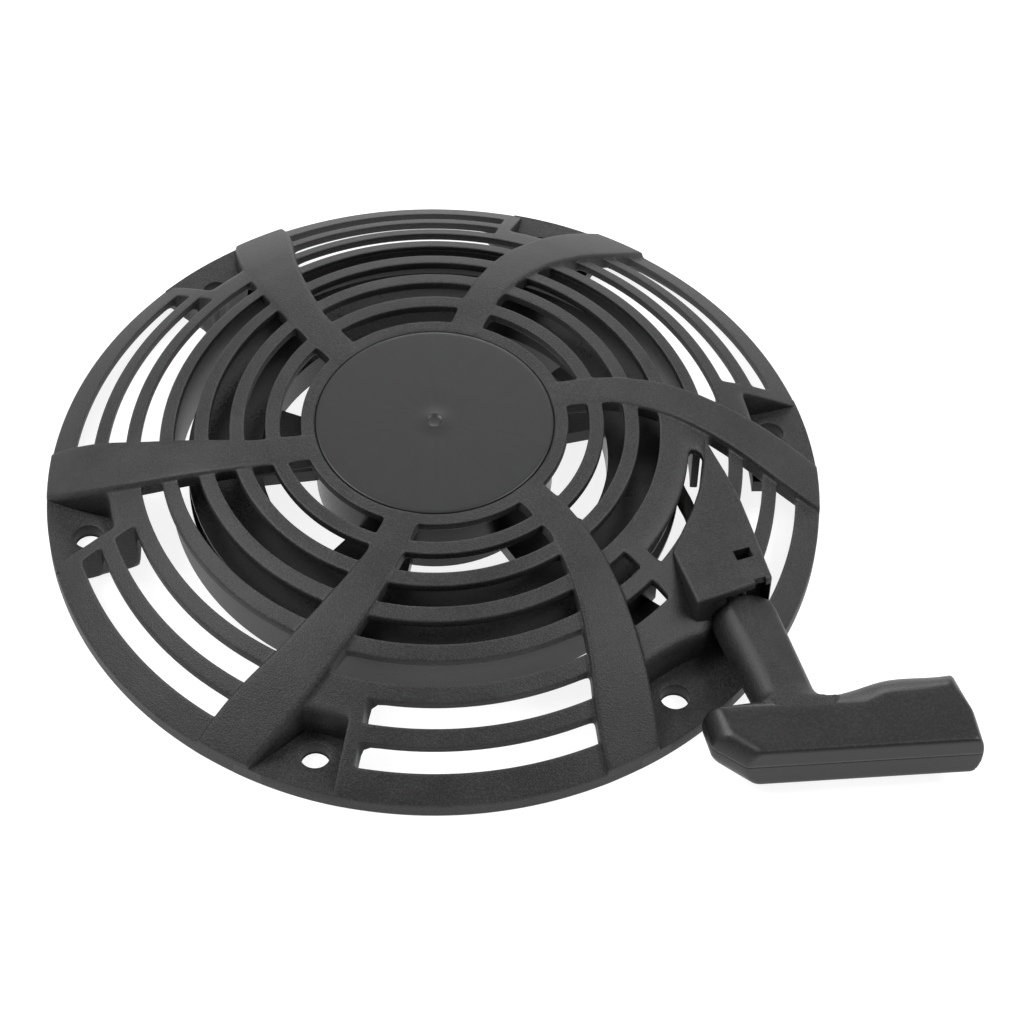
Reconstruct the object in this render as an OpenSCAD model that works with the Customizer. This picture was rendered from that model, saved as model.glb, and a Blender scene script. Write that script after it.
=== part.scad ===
// Recoil starter for a small engine: a ringed plastic housing that carries a rope pulley,
// a spiral spring, two pawls and a T-shaped pull handle. Units are millimetres.
// The bottom plane of the mounting rim is z = 0 and the engine's shaft runs along Z.

/* [Housing] */
// Outside diameter of the mounting rim
rim_d = 250; // [246:1:254]
// Height of the flat crown above the mounting face
crown_z = 37.5; // [36.5:0.25:39]
// Height of the outer edge of the rim, and of the bolt pocket floors
rim_z = 5.6; // [5:0.1:6.2]
// Wall thickness of the dome
wall = 3.2; // [2.8:0.1:3.6]
// Thickness of the rim's upright wall
rim_t = 3.4; // [3:0.1:4]
// Diameter of the smooth disc in the middle of the crown
disc_d = 75; // [70:1:76]

/* [Grille] */
// Number of ring slots from the hub to the rim
ring_slots = 7; // [7:1:7]
// Inner radius of the first ring slot
slot_r0 = 42.4; // [42:0.1:43]
// Distance from one ring slot to the next
slot_pitch = 11.3; // [11.2:0.05:11.4]
// Width of a ring slot
slot_w = 6.6; // [6:0.1:7]
// Number of curved spokes
spokes = 6; // [6:1:6]
// Angle that a spoke covers
spoke_deg = 10.8; // [10:0.2:11.6]
// Degrees that a spoke sweeps back for each millimetre outwards
spoke_sweep = 0.232; // [0.22:0.002:0.24]

/* [Bolt holes] */
// Diameter of the circle that the bolt holes lie on
bolt_pcd = 225; // [224:0.5:226]
// Diameter of a bolt hole
bolt_d = 9; // [8:0.5:9]
// Direction of the first bolt hole
bolt_deg = 12.45; // [12:0.05:13]

/* [Rope] */
// Diameter of the rope
rope_d = 5; // [4.5:0.1:5.4]
// Height of the rope above the mounting face
rope_z = 16; // [15.5:0.1:16.5]
// Heading of the rope where it leaves the housing
rope_deg = -70.3; // [-72:0.1:-69]
// Radius at which the rope comes off the pulley
rope_r = 70.6; // [70:0.1:71]

/* [Handle] */
// Heading of the grip bar
grip_deg = 5.4; // [4:0.1:8]
// Height of the grip bar
grip_h = 17.5; // [16.5:0.5:18]
// Diameter of the neck at the housing end
neck_d = 18.6; // [18:0.1:18.8]

/* [Hidden] */
$fn = 96;

rim_r = rim_d / 2;
disc_r = disc_d / 2;
step_deg = 360 / spokes;
// Dome outline: flat crown, round shoulder, short straight flank, then a wide round haunch
shoulder_r0 = 48;
shoulder_arc = 88;
flank_deg = 28;
flank_end_r = 95;
haunch_arc = 224;
// Radii where the dome's outline changes direction
dome_stations = [shoulder_r0, 59, 69, 79, 89, 99, 108, 116];
// Spokes stand a little proud of the rings, with this many straight lengths along each side
spoke_steps = 8;
spoke_rise = 2;
rib_drop = 1.3;
spoke_hi_hub = 22.9;
spoke_flare = 2.3;
// The spokes narrow again from this radius to the rim
taper_r0 = 102;
spoke_taper = 0.0043;
// How far, in degrees, the cuts for slots and pockets run in under a spoke
cut_tuck = 0.6;
// Bolt pockets
pocket_r = 104.5;
pocket_end_deg = 4.55;
pocket_wall_deg = 2.25;
outer_slot_deg = bolt_deg + pocket_end_deg + pocket_wall_deg;
// Skirt round the pulley
skirt_r = 85;
skirt_t = 2.4;
skirt_z = 9;
// Rope tower
tower_z = 29.2;
rope_dir = [cos(rope_deg), sin(rope_deg)];
rope_side = [-sin(rope_deg), cos(rope_deg)];
mouth_along = 90;
mouth_depth = 9;
mouth_w = 19.8;
mouth_z0 = 6;
mouth_z1 = 26.4;
bush_r = 7;
bush_len = 6;
// Pulley
post_r = 8;
post_z0 = 10.5;
fit = 0.05;
flange_r = 79;
flange_t = 2;
groove_r = 58;
groove_w = 6.4;
groove_z0 = rope_z - groove_w / 2;
groove_z1 = rope_z + groove_w / 2;
pulley_z0 = groove_z0 - flange_t;
pulley_z1 = groove_z1 + flange_t;
cup_r = 38;
cup_t = 2.2;
cup_z1 = 32.6;
web_t = 5;
arms = 5;
barrel_r = groove_r - 2.4;
// Where the rope's end is knotted inside the pulley's rim
knot_r = 49.5;
knot_deg = 72;
// Spiral spring
spring_r0 = 10.4;
spring_r1 = cup_r - cup_t - 1.2;
spring_t = 0.7;
spring_h = 10;
spring_steps = 140;
// Screw, washers and pivot sleeve, from the screw's head up
screw_head_z = 0.5;
screw_head_h = 1.8;
screw_r = 2.1;
washer_t = 1;
screw_len = 24;
sleeve_r = 3.05;
sleeve_len = 14;
sleeve_z0 = screw_head_z + screw_head_h + washer_t;
// Pawls
pawl_pivot_r = 23;
pawl_pin_r = 3;
pin_below = 1.2;
pawl_t = 4.6;
pawl_z0 = pulley_z0 - 0.3 - pawl_t;
plate_t = 1.6;
plate_z0 = pawl_z0 - 0.3 - plate_t;
// Handle
neck_tip_d = 16.4;
neck_len = 36;
neck_facet_deg = 38;
grip_ahead = 46;
grip_z1 = rope_z + 8;
grip_z0 = grip_z1 - grip_h;

// Height of the dome's outer surface at radius r
function shoulder_end_r() = shoulder_r0 + shoulder_arc * sin(flank_deg);
function shoulder_end_z() = crown_z - shoulder_arc * (1 - cos(flank_deg));
function flank_end_z() = shoulder_end_z() - (flank_end_r - shoulder_end_r()) * tan(flank_deg);
function haunch_x() = flank_end_r - haunch_arc * sin(flank_deg);
function haunch_y() = flank_end_z() - haunch_arc * cos(flank_deg);
function dome_z(r) =
    r <= shoulder_r0 ? crown_z :
    r <= shoulder_end_r() ? crown_z - shoulder_arc + sqrt(pow(shoulder_arc, 2) - pow(r - shoulder_r0, 2)) :
    r <= flank_end_r ? shoulder_end_z() - (r - shoulder_end_r()) * tan(flank_deg) :
    haunch_y() + sqrt(pow(haunch_arc, 2) - pow(r - haunch_x(), 2));

// How far a spoke's top stands above the dome at radius r
function rise(r) = 0.12 + spoke_rise * min(1, max(0, (r - 50) / 50));

// Bearing of a spoke's leading and trailing edges at radius r
function spoke_hi(r) = spoke_hi_hub - spoke_sweep * (r - slot_r0 - slot_w / 2);
function spoke_lo(r) =
    spoke_hi(r) - spoke_deg - spoke_flare * max(0, (57 - r) / slot_pitch)
    + spoke_taper * pow(max(0, r - taper_r0), 2);

function at(r, a) = [r * cos(a), r * sin(a)];
function slot_in(i) = slot_r0 + i * slot_pitch;
// Point on the rope's line, s along it from the tangent point on the pulley
function on_rope(s) = [rope_side[0] * rope_r + rope_dir[0] * s, rope_side[1] * rope_r + rope_dir[1] * s];

module sector(r0, r1, a0, a1, n = 4) {
    polygon(concat([for (k = [0:n]) at(r0, a0 + (a1 - a0) * k / n)],
                   [for (k = [n:-1:0]) at(r1, a0 + (a1 - a0) * k / n)]));
}

module ring2d(r0, r1) {
    difference() {
        circle(r1);
        circle(r0);
    }
}

// Moves to the rope's line, s along it, with +X along the pull and +Z up
module on_rope_line(s) {
    translate([on_rope(s)[0], on_rope(s)[1], rope_z]) rotate(rope_deg) children();
}

// ---------------------------------------------------------------- housing

// Plan of one spoke; tuck makes it narrower, for cuts that have to end under it
module spoke2d(r_in, r_out, tuck = 0) {
    radii = [for (k = [0:spoke_steps]) r_in + (r_out - r_in) * k / spoke_steps];
    polygon(concat([for (r = radii) at(r, spoke_lo(r) + tuck)],
                   [for (k = [spoke_steps:-1:0]) at(radii[k], spoke_hi(radii[k]) - tuck)]));
}

// Closed outline of the dome's wall and rim
module dome_outline() {
    last = len(dome_stations) - 1;
    polygon(concat([[0, crown_z]],
                   [for (r = dome_stations) [r, dome_z(r)]],
                   [[rim_r, rim_z], [rim_r, 0], [rim_r - rim_t, 0], [rim_r - rim_t, rim_z - 1]],
                   [for (k = [last:-2:0]) [dome_stations[k] - 0.4 * wall, dome_z(dome_stations[k]) - wall]],
                   [[0, crown_z - wall]]));
}

// Closed outline of a spoke, a little proud of the dome above and deeper below
module spoke_outline() {
    last = len(dome_stations) - 1;
    r_end = rim_r + 0.1;
    polygon(concat([[slot_r0 - 2, crown_z + 0.12]],
                   [for (r = dome_stations) [r, dome_z(r) + rise(r)]],
                   [[r_end, rim_z + rise(r_end)], [r_end, 1.5], [r_end - rim_t, 1.5]],
                   [for (k = [last:-2:0]) [dome_stations[k] - 0.4 * wall, dome_z(dome_stations[k]) - wall - rib_drop]],
                   [[slot_r0 - 2, crown_z - wall - rib_drop]]));
}

module tower2d(grow = 0) {
    polygon([at(skirt_r + 0.8 - grow, -1), [92.3 + grow, -11.6], [96.6 + grow, -22.5],
             [100.7 + grow, -36.9], [104.7 + grow, -51.4], [105.5 + grow, -54.1],
             [81.8 - grow, -64.4], [74.6 - grow, -44.3], at(skirt_r + 0.8 - grow, -25),
             at(skirt_r + 0.8 - grow, -19), at(skirt_r + 0.8 - grow, -13), at(skirt_r + 0.8 - grow, -7)]);
}

// The bolt pockets: five alike, and a wide one that runs on under the handle
module pockets2d() {
    for (k = [0:spokes - 1]) {
        wide = k == 5;
        a1 = bolt_deg + (wide ? 19 : pocket_end_deg);
        difference() {
            rotate(k * step_deg) sector(pocket_r, rim_r + 10, 0, a1);
            rotate(k * step_deg) spoke2d(pocket_r - 10, rim_r + 12, cut_tuck);
            rotate(k * step_deg) sector(pocket_r - 9, rim_r + 12, -12, 2);
            if (wide) tower2d(-0.5);
            if (wide) polygon([[70, -76.5], [77, -71.2], [84, -67.2], [89.4, -66.6],
                               [89.4, -60], [110, -50], [80, -30]]);
        }
    }
}

module slots2d() {
    difference() {
        for (i = [0:ring_slots - 1]) ring2d(slot_in(i), slot_in(i) + slot_w);
        for (k = [0:spokes - 1]) rotate(k * step_deg) {
            spoke2d(slot_r0 - 3, rim_r, cut_tuck);
            sector(slot_in(5) - 3, rim_r, 0, outer_slot_deg);
        }
        tower2d(0.6);
        // Plain plate between the wide pocket and the rope tower
        sector(slot_in(3) - 2.4, slot_in(5) + 2, -38.6, -26);
        // Closed band inside the tower
        sector(slot_in(3) - 2.4, skirt_r - 4, -36.6, 12);
        sector(slot_in(5) - 3, rim_r, -55, -30);
    }
    // Gap between the closed band and the tower
    sector(skirt_r - 4, skirt_r - 0.3, -34.5, -1.5);
}

module dome() {
    difference() {
        rotate_extrude() dome_outline();
        linear_extrude(60) slots2d();
        translate([0, 0, rim_z - 0.2]) linear_extrude(60) pockets2d();
    }
}

module spoke_bars() {
    intersection() {
        rotate_extrude() spoke_outline();
        linear_extrude(60) for (k = [0:spokes - 1]) rotate(k * step_deg) spoke2d(slot_r0 - 1.5, rim_r + 4);
    }
}

// Floor that closes the ends of the slots behind the wide pocket
module slot_floor() {
    translate([0, 0, skirt_z + 0.2]) linear_extrude(3) sector(skirt_r - 1, 103.5, -51, -36.5);
}

// Solid floor under each pocket, and the wall between a pocket and the ring slots
module pads() {
    intersection() {
        cylinder(h = rim_z, r = rim_r - 0.15);
        linear_extrude(60) union() {
            pockets2d();
            for (k = [0:spokes - 1]) rotate(k * step_deg)
                sector(pocket_r - 2.5, rim_r, spoke_hi(110) - 3, bolt_deg + pocket_end_deg + 1.5);
        }
    }
}

module pocket_walls() {
    intersection() {
        rotate_extrude() polygon([[slot_in(5) - 2, 1], [rim_r - 1, 1], [rim_r - 1, dome_z(rim_r - 1) - 0.3],
                                  [110, dome_z(110) - 0.6], [slot_in(5) - 2, dome_z(slot_in(5) - 2) - 0.6]]);
        linear_extrude(60) union() {
            for (k = [0:spokes - 2]) rotate(k * step_deg) {
                sector(slot_in(5) - 1.5, rim_r, outer_slot_deg - pocket_wall_deg - 0.1, outer_slot_deg + 0.1);
                sector(pocket_r - 3, pocket_r + 0.2, spoke_hi(110) - 2, outer_slot_deg);
            }
            // Back of the wide pocket, from the last spoke to the neck of the handle
            polygon([[62, -82], [65, -80.5], [77, -71.2], [84, -67.2], [89.4, -66.6],
                     [89.4, -60], [82, -60], [75, -66]]);
        }
    }
}

module tower() {
    translate([0, 0, 1]) linear_extrude(tower_z - 1) tower2d();
}

module rope_passage() {
    on_rope_line(mouth_along) {
        translate([-mouth_depth, -mouth_w / 2, mouth_z0 - rope_z])
            cube([40, mouth_w, mouth_z1 - mouth_z0]);
        translate([-mouth_depth - bush_len, 0, 0]) rotate([0, 90, 0]) cylinder(h = 20, r = bush_r);
        translate([-60, 0, 0]) rotate([0, 90, 0]) cylinder(h = 60, r = 5);
    }
}

module housing() color([0.09, 0.09, 0.095]) {
    difference() {
        union() {
            dome();
            spoke_bars();
            pads();
            pocket_walls();
            slot_floor();
            tower();
            // Skirt that keeps the rope on the pulley
            translate([0, 0, skirt_z]) rotate_extrude()
                polygon([[skirt_r - skirt_t, 0], [skirt_r, 0], [skirt_r, dome_z(skirt_r) - skirt_z - 1],
                         [skirt_r - skirt_t, dome_z(skirt_r) - skirt_z - 1]]);
            // Post that the pulley turns on
            translate([0, 0, post_z0]) cylinder(h = crown_z - post_z0 - 1, r = post_r);
            translate([0, 0, cup_z1 + 0.8]) cylinder(h = crown_z - cup_z1 - 2, r = post_r + 4);
        }
        // Shallow step round the smooth disc
        translate([0, 0, crown_z - 0.6]) linear_extrude(2) ring2d(disc_r, disc_r + 0.9);
        // Gate mark in the middle of the disc
        translate([0, 0, crown_z - 0.5]) cylinder(h = 2, r = 2.4);
        for (k = [0:spokes - 1]) rotate(bolt_deg + k * step_deg)
            translate([bolt_pcd / 2, 0, -1]) cylinder(h = rim_z + 30, d = bolt_d);
        translate([0, 0, post_z0 - 1]) cylinder(h = screw_head_z + screw_len + 1.7 - post_z0, r = screw_r);
        translate([0, 0, post_z0 - 1]) cylinder(h = sleeve_z0 + sleeve_len + 1 - post_z0, r = sleeve_r);
        rope_passage();
        // Moulding window in the tower's top
        on_rope_line(mouth_along - 15) translate([-1.9, 2.4, 4]) cube([3.8, 5.4, 20]);
    }
}

// ---------------------------------------------------------------- fixed pieces

module rope_bush() color([0.62, 0.62, 0.64])
    on_rope_line(mouth_along - mouth_depth - bush_len) rotate([0, 90, 0]) rotate_extrude()
        polygon([[3.6, 0], [3.1, 1.2], [3.1, bush_len - 1.2], [3.8, bush_len - 0.05],
                 [bush_r, bush_len - 0.05], [bush_r, 0]]);

// Steel tube that the drive plate turns on, pressed into the post
module pivot_sleeve() color([0.6, 0.6, 0.62])
    translate([0, 0, sleeve_z0]) linear_extrude(sleeve_len)
        ring2d(screw_r, sleeve_r);

module centre_screw() color([0.66, 0.66, 0.68])
    translate([0, 0, screw_head_z]) difference() {
        union() {
            cylinder(h = screw_head_h, r = 4.6, $fn = 6);
            cylinder(h = screw_len, r = screw_r);
        }
        translate([0, 0, -1]) cylinder(h = 1.9, r = 1.9, $fn = 6);
    }

module screw_washer() color([0.7, 0.7, 0.72])
    translate([0, 0, screw_head_z + screw_head_h]) linear_extrude(washer_t) ring2d(screw_r, 9);

module spring_anchor() color([0.6, 0.6, 0.62])
    translate([0, 0, pulley_z1 + 1]) linear_extrude(10) difference() {
        ring2d(post_r, post_r + 1.4);
        translate([post_r + 0.4, -2]) square([3, 2.4]);
    }

// ---------------------------------------------------------------- pulley and spring

// Point on the spring's strip after k steps of 18 degrees, off from its inner face
function coil(k, off) = at(spring_r0 + (spring_r1 - spring_r0) * k / spring_steps + off, 18 * k);

// Flat strip wound from the post to the wall of the spring cup
module recoil_spring() color([0.35, 0.36, 0.38])
    translate([0, 0, pulley_z1 + 0.4]) linear_extrude(spring_h)
        polygon(concat([for (k = [0:spring_steps]) coil(k, 0)],
                       [for (k = [spring_steps:-1:0]) coil(k, spring_t)]));

module pulley() color([0.13, 0.13, 0.14]) {
    difference() {
        union() {
            // Rope groove
            rotate_extrude() polygon([[barrel_r, pulley_z0], [flange_r, pulley_z0],
                [flange_r, pulley_z0 + 1.2], [flange_r - 3, groove_z0], [groove_r, groove_z0],
                [groove_r, groove_z1], [flange_r - 3, groove_z1], [flange_r, pulley_z1 - 1.2],
                [flange_r, pulley_z1], [barrel_r, pulley_z1]]);
            // Arms between the hub and the rim
            translate([0, 0, rope_z - web_t / 2]) linear_extrude(web_t)
                for (k = [0:arms - 1]) rotate((k + 0.5) * 360 / arms - 6) sector(cup_r - 1, barrel_r + 0.6, -15, 15);
            // Hub and spring cup
            translate([0, 0, pulley_z0]) cylinder(h = pulley_z1 - pulley_z0, r = cup_r);
            translate([0, 0, pulley_z1 - 1]) linear_extrude(cup_z1 - pulley_z1 + 1)
                ring2d(cup_r - cup_t, cup_r);
        }
        translate([0, 0, -1]) cylinder(h = 60, r = post_r + fit);
        for (s = [0, 180]) rotate(s + 90) translate([pawl_pivot_r, 0, pulley_z0 - 1])
            cylinder(h = 8, r = pawl_pin_r);
        // Hole that the rope's end is led through
        rotate(knot_deg) translate([barrel_r - 3, 0, rope_z]) rotate([0, 90, 0])
            cylinder(h = 8, r = rope_d / 2 + 0.3);
    }
}

// The turns of rope on the pulley
module rope_winding() color([0.82, 0.82, 0.8])
    rotate_extrude() translate([groove_r + 0.05, groove_z0 + 0.4])
        square([rope_r + rope_d / 2 - groove_r - 0.05, groove_w - 0.8]);

// Knot that keeps the rope's end in the pulley
module pulley_knot() color([0.82, 0.82, 0.8])
    rotate(knot_deg) translate([knot_r, 0, rope_z]) {
        sphere(r = 4.6, $fn = 24);
        rotate([0, 90, 0]) cylinder(h = groove_r - knot_r - 0.1, r = rope_d / 2);
    }

module thrust_washer() color([0.7, 0.7, 0.72])
    translate([0, 0, post_z0 - 0.95]) linear_extrude(0.9) ring2d(3.15, post_r + 3);

// ---------------------------------------------------------------- pawls

module pawl() {
    translate([pawl_pivot_r, 0, pawl_z0]) difference() {
        linear_extrude(pawl_t) union() {
            circle(5.4);
            polygon([[5.2, -1], [4.6, 9], [5.6, 15.5], [3.2, 17.5], [-0.2, 15.6], [-3.4, 8], [-5.2, 0]]);
        }
        translate([0, 0, -1]) cylinder(h = pawl_t + 2, r = pawl_pin_r + fit);
    }
}

module pawl_pin() {
    translate([pawl_pivot_r, 0, pawl_z0 - pin_below]) cylinder(h = pawl_t + pin_below + 6.9, r = pawl_pin_r);
}

// Torsion spring that folds a pawl back in
module pawl_spring() {
    translate([pawl_pivot_r, 0, pawl_z0 - 0.75]) {
        rotate_extrude($fn = 40) translate([4.2, 0]) circle(0.35, $fn = 16);
        rotate([-90, 0, 14]) translate([4.1, 0, 0]) cylinder(h = 9, r = 0.35, $fn = 16);
    }
}

module pawl_a() color([0.5, 0.5, 0.52]) rotate(90) pawl();
module pawl_b() color([0.5, 0.5, 0.52]) rotate(270) pawl();
module pawl_pin_a() color([0.66, 0.66, 0.68]) rotate(90) pawl_pin();
module pawl_pin_b() color([0.66, 0.66, 0.68]) rotate(270) pawl_pin();
module pawl_spring_a() color([0.6, 0.6, 0.62]) rotate(90) pawl_spring();
module pawl_spring_b() color([0.6, 0.6, 0.62]) rotate(270) pawl_spring();

// Plate that the brake spring holds back, so that its ears push the pawls out
module drive_plate() color([0.58, 0.58, 0.6])
    translate([0, 0, plate_z0]) linear_extrude(plate_t) difference() {
        union() {
            circle(14);
            for (s = [0, 180]) rotate(s) polygon([[10, -6], [19, -7], [21, 0], [19, 7], [10, 6]]);
        }
        circle(3.12);
    }

module brake_spring() color([0.62, 0.62, 0.64])
    translate([0, 0, plate_z0 - 0.36]) rotate_extrude($fn = 60) translate([7, 0]) circle(0.3, $fn = 16);

// ---------------------------------------------------------------- rope and handle

module rope_lead() color([0.82, 0.82, 0.8])
    on_rope_line(28) rotate([0, 90, 0]) cylinder(h = mouth_along + grip_ahead - 28 - 5, r = rope_d / 2);

// Plan of the bar, out is how far it swells from its flat faces to its middle
function grip_side(out) = [[-24.6 - out, 7.4 + 0.3 * out], [-21.6 - 1.6 * out, -3],
                           [-13.2 - out, -10.8 - 0.1 * out], [51 + 0.5 * out, -10.8 - 0.1 * out],
                           [51.2 + 0.5 * out, 7.4 + out], [-18, 7.4 + 0.9 * out]];

// Finger side of the bar: shallow grooves, deeper towards the long end
function finger_side(x) = 9.4 + 0.14 * (x + 19) + 0.8 * cos(360 * (x - 29) / 38);

module grip_slice(z, out) {
    translate([0, 0, z]) linear_extrude(0.5) polygon(grip_side(out));
}

module grip_bar() {
    translate([on_rope(mouth_along + grip_ahead)[0], on_rope(mouth_along + grip_ahead)[1], 0])
        rotate(grip_deg) {
            hull() {
                grip_slice(grip_z0, 0);
                grip_slice(rope_z - 0.25, 4.6);
                grip_slice(grip_z1 - 0.5, 0);
            }
            translate([0, 0, rope_z - 5]) linear_extrude(10)
                polygon(concat([[-22, 6], [49, 6]], [for (x = [49:-6:-17]) [x, finger_side(x)]]));
        }
}

// Round neck with a flat facet along its upper right side
module neck() {
    on_rope_line(mouth_along - 5) difference() {
        rotate([0, 90, 0]) cylinder(h = neck_len + 6, d1 = neck_d, d2 = neck_tip_d);
        rotate([-neck_facet_deg, 0, 0]) translate([-1, -20, neck_d / 2 - 1.2]) cube([neck_len + 3, 40, 10]);
    }
}

module handle_grip() color([0.1, 0.1, 0.105]) {
    difference() {
        union() {
            grip_bar();
            neck();
        }
        // Bore for the stiffening tube
        on_rope_line(mouth_along - 6) rotate([0, 90, 0]) cylinder(h = grip_ahead, r = 5);
        // Knot pocket, open at the bottom
        on_rope_line(mouth_along + grip_ahead - 6.2) translate([0, -6.5, -20]) cube([13, 13, 26.4]);
    }
}

module handle_insert() color([0.66, 0.66, 0.68])
    on_rope_line(mouth_along - 4) rotate([0, 90, 0]) difference() {
        cylinder(h = grip_ahead - 3.5, r = 5);
        translate([0, 0, -1]) cylinder(h = grip_ahead, r = rope_d / 2 + 0.2);
    }

module handle_washer() color([0.7, 0.7, 0.72])
    on_rope_line(mouth_along + grip_ahead - 6.1) rotate([0, 90, 0]) difference() {
        cylinder(h = 1.2, r = 6);
        translate([0, 0, -1]) cylinder(h = 4, r = rope_d / 2 + 0.2);
    }

module handle_knot() color([0.82, 0.82, 0.8])
    on_rope_line(mouth_along + grip_ahead - 0.1) sphere(r = 4.8, $fn = 24);

housing();
rope_bush();
pivot_sleeve();
centre_screw();
screw_washer();
spring_anchor();
recoil_spring();
pulley();
rope_winding();
pulley_knot();
thrust_washer();
pawl_a();
pawl_b();
pawl_pin_a();
pawl_pin_b();
pawl_spring_a();
pawl_spring_b();
drive_plate();
brake_spring();
rope_lead();
handle_grip();
handle_insert();
handle_washer();
handle_knot();
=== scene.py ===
"""Recoil starter for a small engine: ringed nylon housing, rope tower, pulley, rope and T handle."""

import logging
from dataclasses import dataclass, field
from enum import Enum
from typing import Optional, Sequence

import bpy
import numpy as np
from mathutils import Matrix, Vector


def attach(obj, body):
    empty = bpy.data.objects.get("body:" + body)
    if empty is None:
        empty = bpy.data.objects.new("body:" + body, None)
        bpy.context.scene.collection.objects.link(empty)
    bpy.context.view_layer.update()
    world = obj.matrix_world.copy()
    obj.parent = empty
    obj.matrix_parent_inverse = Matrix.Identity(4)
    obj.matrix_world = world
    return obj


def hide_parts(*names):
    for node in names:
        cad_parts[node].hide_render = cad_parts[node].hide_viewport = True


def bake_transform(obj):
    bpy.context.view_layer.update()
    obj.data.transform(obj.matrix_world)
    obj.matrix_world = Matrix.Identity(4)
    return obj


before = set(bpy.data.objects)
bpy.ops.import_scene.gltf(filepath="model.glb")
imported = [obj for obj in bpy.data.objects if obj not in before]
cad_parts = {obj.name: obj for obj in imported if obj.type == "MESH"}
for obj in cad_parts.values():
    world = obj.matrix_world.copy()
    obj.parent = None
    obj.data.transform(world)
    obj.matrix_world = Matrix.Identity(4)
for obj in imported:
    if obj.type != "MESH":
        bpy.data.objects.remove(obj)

MM = 0.001
LOG = logging.getLogger("recoil_starter")
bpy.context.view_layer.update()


class Body(Enum):
    """The moving bodies that pieces ride on."""

    HOUSING = "housing"
    PULLEY = "pulley"
    HANDLE = "handle"


# ------------------------------------------------------------------ mesh helpers


def ring_quads(rings: int, around: int, close_rings: bool = False, close_around: bool = True) -> np.ndarray:
    """Quads between neighbouring rings of points, numbered ring by ring.

    Args:
        rings: How many rings there are.
        around: How many points each ring has.
        close_rings: Whether the last ring joins the first.
        close_around: Whether each ring is a loop.

    Returns:
        Corner numbers, one row of four for each quad.
    """
    i = np.arange(rings if close_rings else rings - 1)[:, None]
    j = np.arange(around if close_around else around - 1)[None, :]
    i2, j2 = (i + 1) % rings, (j + 1) % around
    quad = np.stack(np.broadcast_arrays(i * around + j, i * around + j2, i2 * around + j2, i2 * around + j), -1)
    return quad.reshape(-1, 4)


def build_mesh(name: str, points: np.ndarray, faces: Sequence, uv: Optional[np.ndarray] = None,
               edge: Optional[np.ndarray] = None, sharp_deg: float = 40.0) -> bpy.types.Object:
    """Make one mesh object from points in millimetres.

    Args:
        name: Name of the object.
        points: Points, one row of three for each.
        faces: Lists of corner numbers.
        uv: Optional texture place of each point.
        edge: Optional painted highlight of each point along the edges, from 0 to 1.
        sharp_deg: Edges that turn more than this stay sharp.

    Returns:
        The new object, at the origin.
    """
    mesh = bpy.data.meshes.new(name)
    mesh.from_pydata((np.asarray(points, float) * MM).tolist(), [], [list(map(int, f)) for f in faces])
    mesh.update()
    if uv is not None:
        corner = np.empty(len(mesh.loops), np.int32)
        mesh.loops.foreach_get("vertex_index", corner)
        layer = mesh.uv_layers.new(name="UVMap")
        layer.data.foreach_set("uv", np.asarray(uv, np.float32)[corner].ravel())
    # The painted edge highlight is stored as the edge attribute.
    edge_highlight = np.zeros(len(mesh.vertices)) if edge is None else edge
    mesh.attributes.new("edge", "FLOAT", "POINT").data.foreach_set("value", edge_highlight.astype(np.float32))
    mesh.polygons.foreach_set("use_smooth", np.ones(len(mesh.polygons), bool))
    mesh.set_sharp_from_angle(angle=np.radians(sharp_deg))
    piece = bpy.data.objects.new(name, mesh)
    bpy.context.scene.collection.objects.link(piece)
    return piece


def place(piece: bpy.types.Object, material: bpy.types.Material, body: Body,
          nodes: Sequence[str] = ()) -> bpy.types.Object:
    """Give a piece its material, its body and the nodes it stands for."""
    piece.data.materials.append(material)
    if nodes:
        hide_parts(*nodes)
    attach(piece, body.value)
    LOG.info("%s: %d faces, rides on %s", piece.name, len(piece.data.polygons), body.value)
    return piece


def revolve(profile: np.ndarray, around: int) -> tuple[np.ndarray, np.ndarray]:
    """Turn a closed profile round Z: point = (r cos a, r sin a, z) for each profile point and angle.

    Args:
        profile: Radius and height of each profile point, anticlockwise with r to the right and z up.
        around: How many steps the turn has.

    Returns:
        The points and the quads.
    """
    a = np.linspace(0, 2 * np.pi, around, endpoint=False)[None, :]
    r, z = profile[:, 0:1], profile[:, 1:2]
    points = np.stack(np.broadcast_arrays(r * np.cos(a), r * np.sin(a), z + 0 * a), -1).reshape(-1, 3)
    return points, ring_quads(len(profile), around, close_rings=True)[:, ::-1]


def smooth_loop(corners: Sequence[Sequence[float]], step: float, sigma: float) -> np.ndarray:
    """Closed outline with soft corners: even samples of a polygon, averaged with a bell-shaped weight.

    Args:
        corners: Corners of the polygon, in order.
        step: Distance between samples.
        sigma: Width of the bell, as a distance along the outline.

    Returns:
        Points of the outline, one row of two for each.
    """
    c = np.asarray(corners, float)
    d = np.linalg.norm(np.roll(c, -1, 0) - c, axis=1)
    s = np.concatenate([[0], np.cumsum(d)])
    count = int(s[-1] / step)
    at = np.linspace(0, s[-1], count, endpoint=False)
    loop = np.stack([np.interp(at, s, np.append(c[:, k], c[0, k])) for k in (0, 1)], -1)
    k = np.fft.fftfreq(count, d=s[-1] / count)
    weight = np.exp(-2 * (np.pi * k * sigma) ** 2)
    return np.real(np.fft.ifft(np.fft.fft(loop, axis=0) * weight[:, None], axis=0))


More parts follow.
